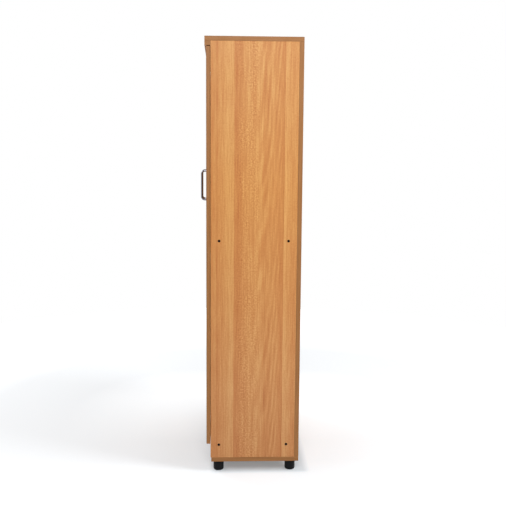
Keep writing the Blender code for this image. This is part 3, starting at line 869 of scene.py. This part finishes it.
pin_nodes = [name for name in frame["nodes"] if "_shelf_pin_" in name]
low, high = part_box(pin_nodes[0])
pin_half, pin_radius = (high.x - low.x) / 2, (high.z - low.z) / 2
pin_profile = [
    (-pin_half, 0.0), (-pin_half, pin_radius), (PIN_COLLAR_START, pin_radius),
    (PIN_COLLAR_START, PIN_COLLAR_RADIUS), (PIN_COLLAR_END, PIN_COLLAR_RADIUS),
    (PIN_COLLAR_END, pin_radius),
    *quarter(pin_half - PIN_ROUND, pin_radius - PIN_ROUND, PIN_ROUND, start=0.0, steps=4),
    (pin_half, 0.0),
]
pin_marks = [(middle_of(name), (1 if name.endswith("left") else -1, 0, 0)) for name in pin_nodes]
shelf_pins = turned_on_marks("shelf_pins", pin_profile, pin_marks, nickel, sides=24)
fit(shelf_pins, "carcass", "nickel", *pin_nodes)
print(len(pin_marks), "shelf pins")

# %% Set out the screw caps
CAP_LIP, CAP_SEAT, CAP_DOME = 0.0004, 0.00005, 0.0005
# Shares of the dome's height and of the cap's radius, from the rim to the middle
CAP_CURVE = ((0.3, 1.0), (0.7, 0.9), (1.0, 0.6), (1.0, 0.0))

screw_nodes = [name for name in frame["nodes"] if "_shelf_screw_" in name]
low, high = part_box(screw_nodes[0])
cap_radius = (high.z - low.z) / 2 + CAP_LIP
cap_profile = [(CAP_SEAT, 0.0), (CAP_SEAT, cap_radius)]
cap_profile += [(CAP_DOME * rise, cap_radius * reach) for rise, reach in CAP_CURVE]
left_side_low, left_side_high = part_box("left_side_panel")
cap_marks = [((side_high.x, *middle_of(name).yz), (1, 0, 0)) for name in screw_nodes]
for name in screw_nodes:
    far_face = left_side_low.x if name.startswith("deck") else partition_low.x
    cap_marks.append(((far_face, *middle_of(name).yz), (-1, 0, 0)))
screw_caps = turned_on_marks("screw_caps", cap_profile, cap_marks, brown_plastic, sides=32)
fit(screw_caps, "carcass", "screw_cap", *screw_nodes)
print(len(cap_marks), "screw caps")

# %% Set out the feet
FOOT_ROUND, FOOT_TOP_EASE = 0.0072, 0.0012

foot_nodes = [name for name in frame["nodes"] if name.endswith("_foot")]
low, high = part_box(foot_nodes[0])
foot_radius, foot_height = (high.x - low.x) / 2, high.z - low.z
foot_profile = [
    (0.0, 0.0),
    *quarter(FOOT_ROUND, foot_radius - FOOT_ROUND, FOOT_ROUND, start=-math.pi / 2, steps=10),
    *quarter(foot_height - FOOT_TOP_EASE, foot_radius - FOOT_TOP_EASE, FOOT_TOP_EASE, start=0.0, steps=3),
    (foot_height, 0.0),
]
foot_marks = [((*middle_of(name).xy, low.z), (0, 0, 1)) for name in foot_nodes]
feet = turned_on_marks("round_feet", foot_profile, foot_marks, black_plastic, sides=64)
fit(feet, "carcass", "black_plastic", *foot_nodes)
print(len(foot_marks), "feet")

# %% [markdown]
# ## Bow handles
#
# The handle is one round bar, bent twice. A curve with a bevel would do; a Geometry Nodes tree does it
# from sizes: a path of four points becomes a curve, Fillet Curve rounds the two corners, and Curve to
# Mesh sweeps a circle along it and caps the ends. A change of bar or bend is then one number.

# %% The bow-handle tree
BEND_RADIUS, BEND_STEPS, BAR_SIDES = 0.012, 12, 32

bow, given, result = geometry_tree("bow handle", {"Bar Radius": "Float", "Bend Radius": "Float"})
path = node(bow, "GeometryNodeMeshToCurve", {0: given["Geometry"]})
bent = node(bow, "GeometryNodeFilletCurve", {
    "Curve": path.outputs[0], "Count": BEND_STEPS, "Radius": given["Bend Radius"], "Limit Radius": True,
}, mode="POLY")
bar = node(bow, "GeometryNodeCurvePrimitiveCircle", {"Resolution": BAR_SIDES, "Radius": given["Bar Radius"]})
swept = node(bow, "GeometryNodeCurveToMesh", {
    "Curve": bent.outputs[0], "Profile Curve": bar.outputs[0], "Fill Caps": True,
})
close_tree(bow, swept.outputs[0], given, result)
print("bow-handle tree:", len(bow.nodes), "nodes")

# %% Make the handles
for hand in ("left", "right"):
    low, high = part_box(f"{hand}_handle")
    bar_radius = (high.x - low.x) / 2
    x, bar_y = (low.x + high.x) / 2, low.y + bar_radius
    leg_low, leg_high = low.z + bar_radius, high.z - bar_radius
    route = bpy.data.meshes.new("route")
    corners = [(x, high.y, leg_low), (x, bar_y, leg_low), (x, bar_y, leg_high), (x, high.y, leg_high)]
    route.from_pydata(corners, [(0, 1), (1, 2), (2, 3)], [])
    handle = run_tree(f"{hand}_bow_handle", bow, route, {
        "Bar Radius": bar_radius, "Bend Radius": BEND_RADIUS, "Material": smoked_chrome,
    })
    smooth(handle.data)
    fit(handle, body_of[f"{hand}_handle"], "chrome", f"{hand}_handle")
print("handles made, bar", round(2 * bar_radius * 1000, 1), "mm")

# %% [markdown]
# ## Hanging rail and pressed metal
#
# The rail is a thin tube, spun from a profile that goes up the outside and down the inside. Brackets
# and hinges already have the right shape as solids but razor edges. A copy of each solid is welded,
# because its triangles are loose, its flat triangles are dissolved, and a narrow bevel breaks every
# edge. The bevel is one step wide, so flats stay flat and the broken edge gives the bright line that
# pressed metal has.

# %% Make the rail
TUBE_WALL = 0.0012

low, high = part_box("hanging_rail")
tube_radius = (high.x - low.x) / 2
tube_profile = [
    (0.0, tube_radius - TUBE_WALL), (0.0, tube_radius), (high.y - low.y, tube_radius),
    (high.y - low.y, tube_radius - TUBE_WALL), (0.0, tube_radius - TUBE_WALL),
]
tube_mesh = lathe("rail_tube", tube_profile, sides=64)
tube_mesh.transform(Matrix.Rotation(-math.pi / 2, 4, "X"))
tube_mesh.transform(Matrix.Translation(((low.x + high.x) / 2, low.y, (low.z + high.z) / 2)))
tube_mesh.materials.append(chrome)
fit(as_piece("rail_tube", tube_mesh), "carcass", "chrome", "hanging_rail")
print("rail made,", round(high.y - low.y, 4), "m long")

# %% Make the brackets and the hinges
METAL_EASE, BRACKET_EASE = 0.00025, 0.0006
FLAT_ANGLE = math.radians(1)


def eased_metal(node_name, material, slot, width=METAL_EASE):
    """A copy of a solid with every edge broken by a narrow bevel."""
    shape = bmesh.new()
    shape.from_mesh(frame["nodes"][node_name].data)
    bmesh.ops.remove_doubles(shape, verts=shape.verts, dist=MERGE)
    bmesh.ops.dissolve_limit(shape, angle_limit=FLAT_ANGLE, verts=shape.verts, edges=shape.edges)
    mesh = mesh_from(node_name, shape)
    mesh.materials.clear()
    mesh.materials.append(material)
    made = as_piece(f"{node_name}_eased", mesh)
    bevel = made.modifiers.new("ease", "BEVEL")
    bevel.width = width
    bevel.segments = 1
    bevel.limit_method = "ANGLE"
    bevel.angle_limit = SMOOTH_ANGLE
    settled(made)
    smooth(made.data)
    fit(made, body_of[node_name], slot, node_name)


for end in ("front", "rear"):
    eased_metal(f"{end}_rail_bracket", chrome, "chrome", BRACKET_EASE)
for hand in ("left", "right"):
    for part in ("plate", "arm", "link", "cup"):
        for name in hinge_nodes(hand, part):
            eased_metal(name, nickel, "nickel")
print("brackets and hinges made")

# %% [markdown]
# ## Cross-head screws
#
# Hinges, brackets, handles and the back are held by screws with a cross recess. The tree below makes
# one head from its sizes: a flattened ball, with a block taken off underneath and two thin blocks taken
# out for the cross. It then sets the head out on marks. Large, low heads with the same cross are the
# cam locks that draw the top down on to the uprights.
#
# At such small sizes the Boolean's quick solver leaves holes, so the exact one is asked for. An odd
# number of rings and half a segment's turn keep the ball's edges off the faces that cut it.

# %% The cross-head tree
HEAD_SIZES = ("Head Radius", "Head Height", "Slot Width", "Slot Depth")
HEAD_SEGMENTS, HEAD_RINGS = 24, 13
BLOCK_SPREAD, SLOT_REACH = 3.0, 1.15

cross_head, given, result = geometry_tree("cross-head screws", dict.fromkeys(HEAD_SIZES, "Float"))
ball = node(cross_head, "GeometryNodeMeshUVSphere", {
    "Segments": HEAD_SEGMENTS, "Rings": HEAD_RINGS, "Radius": 1.0,
})
head_size = node(cross_head, "ShaderNodeCombineXYZ", {
    "X": given["Head Radius"], "Y": given["Head Radius"], "Z": given["Head Height"],
})
dome = node(cross_head, "GeometryNodeTransform", {
    "Geometry": ball.outputs["Mesh"], "Rotation": (0.0, 0.0, math.pi / HEAD_SEGMENTS),
    "Scale": head_size.outputs[0],
})
# A block is centred on its lift, so it is twice as tall as it cuts
times = partial(calc, cross_head, "MULTIPLY")
wide, tall = times(given["Head Radius"], BLOCK_SPREAD), times(given["Head Height"], 2.0)
slot_length, slot_tall = times(given["Head Radius"], SLOT_REACH), times(given["Slot Depth"], 2.0)


def block(x, y, z, lift):
    """A box of three sizes, lifted along Z."""
    size = node(cross_head, "ShaderNodeCombineXYZ", {"X": x, "Y": y, "Z": z})
    cube = node(cross_head, "GeometryNodeMeshCube", {"Size": size.outputs[0]})
    move = node(cross_head, "ShaderNodeCombineXYZ", {"Z": lift})
    moved = node(cross_head, "GeometryNodeTransform", {
        "Geometry": cube.outputs["Mesh"], "Translation": move.outputs[0],
    })
    return moved.outputs[0]


head = dome.outputs[0]
for cutter in (
    block(wide, wide, tall, times(given["Head Height"], -1.0)),
    block(slot_length, given["Slot Width"], slot_tall, given["Head Height"]),
    block(given["Slot Width"], slot_length, slot_tall, given["Head Height"]),
):
    cut = node(cross_head, "GeometryNodeMeshBoolean", {
        "Mesh 1": head, "Mesh 2": cutter,
    }, operation="DIFFERENCE", solver="EXACT")
    head = cut.outputs[0]
close_tree(cross_head, on_marks(cross_head, given["Geometry"], head), given, result)
print("cross-head tree:", len(cross_head.nodes), "nodes")

# %% [markdown]
# ## Where the screws go
#
# Marks are worked out from the nodes that the screws hold: two on the wings of each hinge plate, two
# adjusters in each hinge arm, two beside each cup, two through each rail bracket, two bolts behind each
# handle, and rows that fix the back to the uprights. Pieces that move need their own mesh, so the door's
# screws are one piece for each door.

# %% The screw maker
# Each kind of head, in the order of HEAD_SIZES
HEADS = {
    "hinge_plate_screws": (0.0040, 0.0014, 0.0011, 0.0010),
    "hinge_adjusters": (0.0036, 0.0016, 0.0011, 0.0010),
    "bracket_screws": (0.0040, 0.0016, 0.0011, 0.0011),
    "cam_locks": (0.0075, 0.0006, 0.0020, 0.0004),
    "back_screws": (0.0042, 0.0007, 0.0012, 0.0005),
    "cup_screws": (0.0036, 0.0009, 0.0011, 0.0007),
    "handle_bolts": (0.0048, 0.0019, 0.0012, 0.0012),
}


def screws(kind, places, hand=None, material=nickel):
    """Heads of one kind on their marks; those of a hand move with that door."""
    name, body = (f"{hand}_{kind}", f"{hand}_door") if hand else (kind, "carcass")
    sizes = dict(zip(HEAD_SIZES, HEADS[kind]))
    made = run_tree(name, cross_head, marks(places), {**sizes, "Material": material})
    smooth(made.data)
    fit(made, body, "nickel")
    print(len(places), name)


print(len(HEADS), "kinds of screw head")

# %% Screws of the hinges
PLATE_SCREW_BACK, PLATE_SCREW_RISE = 0.021, 0.017
ARM_WEB, ARM_SCREWS = 0.0016, (0.018, 0.038)
# The way along X that points out of the wardrobe on each hand
OUTWARD = {"left": -1, "right": 1}

hinge_marks, adjuster_marks = [], []
for hand, outward in OUTWARD.items():
    for plate, arm in zip(hinge_nodes(hand, "plate"), hinge_nodes(hand, "arm")):
        low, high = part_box(plate)
        face_x = low.x if outward > 0 else high.x
        middle_z = (low.z + high.z) / 2
        for rise in (-PLATE_SCREW_RISE, PLATE_SCREW_RISE):
            hinge_marks.append(((face_x, low.y + PLATE_SCREW_BACK, middle_z + rise), (-outward, 0, 0)))
        low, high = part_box(arm)
        web_x = high.x - ARM_WEB if outward > 0 else low.x + ARM_WEB
        for back in ARM_SCREWS:
            adjuster_marks.append(((web_x, high.y - back, middle_z), (-outward, 0, 0)))
screws("hinge_plate_screws", hinge_marks)
screws("hinge_adjusters", adjuster_marks)

# %% Screws of the brackets, the top and the back
BRACKET_SCREW_REACH, BRACKET_FLANGE = 0.022, 0.004
CAM_DROP, CAM_INSET = 0.034, 0.060
BACK_SCREW_PITCH, BACK_SCREW_INSET = 0.31, 0.009

bracket_marks = []
for end in ("front", "rear"):
    low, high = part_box(f"{end}_rail_bracket")
    for reach in (-BRACKET_SCREW_REACH, BRACKET_SCREW_REACH):
        x = (low.x + high.x) / 2 + reach
        bracket_marks.append(((x, (low.y + high.y) / 2, high.z - BRACKET_FLANGE), (0, 0, -1)))

cam_marks = []
for x, facing in ((left_side_high.x, 1), (side_low.x, -1), (partition_low.x, -1)):
    for y in (side_low.y + CAM_INSET, side_high.y - CAM_INSET):
        cam_marks.append(((x, y, side_high.z - CAM_DROP), (facing, 0, 0)))

back_marks = []
back_low, back_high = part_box("back_panel")
rows = round((back_high.z - back_low.z) / BACK_SCREW_PITCH)
for x in (back_low.x + BACK_SCREW_INSET, middle_of("partition_panel").x, back_high.x - BACK_SCREW_INSET):
    for i in range(rows):
        z = back_low.z + (back_high.z - back_low.z) * (i + 0.5) / rows
        back_marks.append(((x, back_high.y, z), (0, 1, 0)))

screws("bracket_screws", bracket_marks)
screws("cam_locks", cam_marks, material=zinc)
screws("back_screws", back_marks)

# %% Screws of the doors
CUP_SCREW_IN, CUP_SCREW_RISE = 0.0235, 0.0225

for hand, outward in OUTWARD.items():
    cup_marks, bolt_marks = [], []
    for cup in hinge_nodes(hand, "cup"):
        low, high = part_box(cup)
        x = (high.x if outward > 0 else low.x) - outward * CUP_SCREW_IN
        for rise in (-CUP_SCREW_RISE, CUP_SCREW_RISE):
            cup_marks.append(((x, high.y, (low.z + high.z) / 2 + rise), (0, 1, 0)))
    low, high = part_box(f"{hand}_handle")
    _, door_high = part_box(f"{hand}_door")
    for z in (low.z + bar_radius, high.z - bar_radius):
        bolt_marks.append((((low.x + high.x) / 2, door_high.y, z), (0, 1, 0)))
    screws("cup_screws", cup_marks, hand)
    screws("handle_bolts", bolt_marks, hand)

# %% [markdown]
# ## Floor and surroundings
#
# The picture was taken on a white studio sweep. A white floor could be had by flooding it with light,
# but that would also bleach the wood. Instead the floor is a pale disc with a little glow of its own,
# which only the camera and mirror-like surfaces see. The glow grows towards the rim, where the floor
# runs into a white world without a horizon. It is weak under the wardrobe, a little off its middle,
# which is painted shade where the deepest shade lies. Two lifts add painted light to it where the
# picture's shadow is paler: on the far side, and on the near side from just inside the side panel.
#
# The studio is dark behind the photographer, so the world has a dark patch on that side for anything
# that mirrors it: without it, polished metal would be as white as the background.

# %% The floor
FLOOR_RADIUS, FLOOR_SIDES, FLOOR_DROP = 3.0, 96, 0.0004

floor_shape = bmesh.new()
bmesh.ops.create_circle(floor_shape, cap_ends=True, radius=FLOOR_RADIUS, segments=FLOOR_SIDES)
bmesh.ops.translate(floor_shape, verts=floor_shape.verts, vec=(0.0, 0.0, -FLOOR_DROP))
floor = as_piece("floor", mesh_from("floor", floor_shape))
print("floor", FLOOR_RADIUS, "m in radius")

# %% The floor's paint and glow
FLOOR_COLOUR = (0.54, 0.57, 0.60, 1.0)
GLOW_REACH = 2.0
# Painted shade: the glow under the wardrobe is dim, so the floor there is dark.
PAINTED_SHADE_UNDER = (0.200, 0.215, 0.222, 1.0)
# Distance from the base in metres, and the glow's level there; the low levels near the base are painted
# shade.
GLOW_AT = ((0.03, 0.435), (0.15, 0.45), (0.35, 0.50), (0.60, 0.525), (1.20, 0.57), (GLOW_REACH, 1.0))
# The painted shade is centred a little off the base's middle, towards the back and the far side.
PAINTED_SHADE_SHIFT = Vector((-0.012, 0.0225, 0.0))
# Painted light: lifts of the glow that make the cast shadow paler, on the far side and on the near side from
# just inside the side panel.
FAR_PAINTED_LIGHT, FAR_START, FAR_FULL, FAR_FADE = 0.33, 0.05, -0.65, 0.75
NEAR_PAINTED_LIGHT, NEAR_START, NEAR_FULL = 0.065, 0.28, 0.44
FLAT = Vector((1.0, 1.0, 0.0))

floor_paint = bpy.data.materials.new("studio_floor")
floor_paint.use_nodes = True
tree = floor_paint.node_tree
tree.nodes.clear()


def seen_directly(tree):
    """1 for rays from the camera and for mirror and glass rays, else 0."""
    path = node(tree, "ShaderNodeLightPath").outputs
    mirrored = calc(tree, "MAXIMUM", path["Is Glossy Ray"], path["Is Transmission Ray"])
    return calc(tree, "MAXIMUM", path["Is Camera Ray"], mirrored)


base_low, base_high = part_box("base_panel")
base_centre = middle_of("base_panel") * FLAT + PAINTED_SHADE_SHIFT
footprint = (base_high - base_low) / 2 * FLAT
on_floor = in_space(tree)
outside = on_floor
for operation, other in (
    ("SUBTRACT", base_centre), ("ABSOLUTE", Vector()), ("SUBTRACT", footprint), ("MAXIMUM", Vector()),
):
    outside = node(tree, "ShaderNodeVectorMath", {0: outside, 1: other}, operation=operation).outputs[0]
distance = node(tree, "ShaderNodeVectorMath", {0: outside}, operation="LENGTH").outputs["Value"]
# The glow by distance from the base: painted shade under it, rising to white at the rim.
levels = [(0.0, PAINTED_SHADE_UNDER)]
levels += [(place / GLOW_REACH, (level, level, level, 1.0)) for place, level in GLOW_AT]
rising = ramp(tree, calc(tree, "DIVIDE", distance, GLOW_REACH), levels)
# The lifts are painted light, added to the glow.
depth = node(tree, "ShaderNodeSeparateXYZ", {0: on_floor}).outputs["X"]
lift = calc(
    tree, "MULTIPLY", between(tree, depth, FAR_START, FAR_FULL), between(tree, distance, FAR_FADE, 0.0),
)
lift = calc(tree, "MULTIPLY", lift, FAR_PAINTED_LIGHT)
lift = calc(tree, "MULTIPLY_ADD", between(tree, depth, NEAR_START, NEAR_FULL), NEAR_PAINTED_LIGHT, lift)
rising = node(tree, "ShaderNodeVectorMath", {0: rising, 1: lift}, operation="ADD").outputs[0]
pale = node(tree, "ShaderNodeBsdfDiffuse", {"Color": FLOOR_COLOUR})
glow = node(tree, "ShaderNodeEmission", {"Color": rising, "Strength": seen_directly(tree)})
both = node(tree, "ShaderNodeAddShader", {0: pale.outputs[0], 1: glow.outputs[0]})
node(tree, "ShaderNodeOutputMaterial", {"Surface": both.outputs[0]})
floor.data.materials.append(floor_paint)
print("floor paint:", len(tree.nodes), "nodes")

# %% The studio
AMBIENT = 0.28
DARK_TILT = math.radians(12)
DARK_SIDE = Vector((math.cos(DARK_TILT), 0.0, -math.sin(DARK_TILT)))
DARK_EDGE, DARK_CORE, DARK_LEVEL = 0.72, 0.95, 0.20
WHITE = (1.0, 1.0, 1.0, 1.0)

world = bpy.data.worlds.new("studio")
scene.world = world
world.use_nodes = True
tree = world.node_tree
tree.nodes.clear()
direction = node(tree, "ShaderNodeTexCoord").outputs["Generated"]
to_dark_side = node(tree, "ShaderNodeVectorMath", {0: direction, 1: DARK_SIDE}, operation="DOT_PRODUCT")
room = node(tree, "ShaderNodeMapRange", {
    "Value": to_dark_side.outputs["Value"], "From Min": DARK_EDGE, "From Max": DARK_CORE,
    "To Min": 1.0, "To Max": DARK_LEVEL,
}, interpolation_type="SMOOTHSTEP").outputs[0]
to_camera = node(tree, "ShaderNodeLightPath").outputs["Is Camera Ray"]
background = calc(tree, "MAXIMUM", to_camera, room)
strength = node(tree, "ShaderNodeMapRange", {
    "Value": seen_directly(tree), "To Min": AMBIENT, "To Max": background,
})
sky = node(tree, "ShaderNodeBackground", {"Color": WHITE, "Strength": strength.outputs[0]})
node(tree, "ShaderNodeOutputWorld", {"Surface": sky.outputs[0]})
print("ambient light", AMBIENT)

# %% [markdown]
# ## Three lamps
#
# A broad lamp stands above the photographer and falls off down the side panel; its shadow lies behind
# the wardrobe, out of sight. A back lamp throws the long pale shadow towards the front of the wardrobe.
# A weak fill from the front keeps that shadow pale and lights the doors.

# %% Set the lamps
def lamp(name, place, aim, size, watts):
    """A round area lamp, turned to its aim."""
    made = bpy.data.objects.new(name, bpy.data.lights.new(name, "AREA"))
    scene.collection.objects.link(made)
    made.data.shape = "DISK"
    made.data.size = size
    made.data.energy = watts
    made.location = place
    made.rotation_euler = (Vector(aim) - made.location).to_track_quat("-Z", "Y").to_euler()
    print(name, watts, "W")


lamp("side_lamp", place=(3.2, -0.10, 2.9), aim=(0.4, 0.0, 1.6), size=1.2, watts=48.0)
lamp("back_lamp", place=(1.65, 3.4, 2.8), aim=(0.0, -0.3, 0.6), size=1.6, watts=123.0)
lamp("front_fill", place=(-2.3, -2.8, 2.7), aim=(0.0, 0.0, 0.8), size=2.0, watts=55.0)
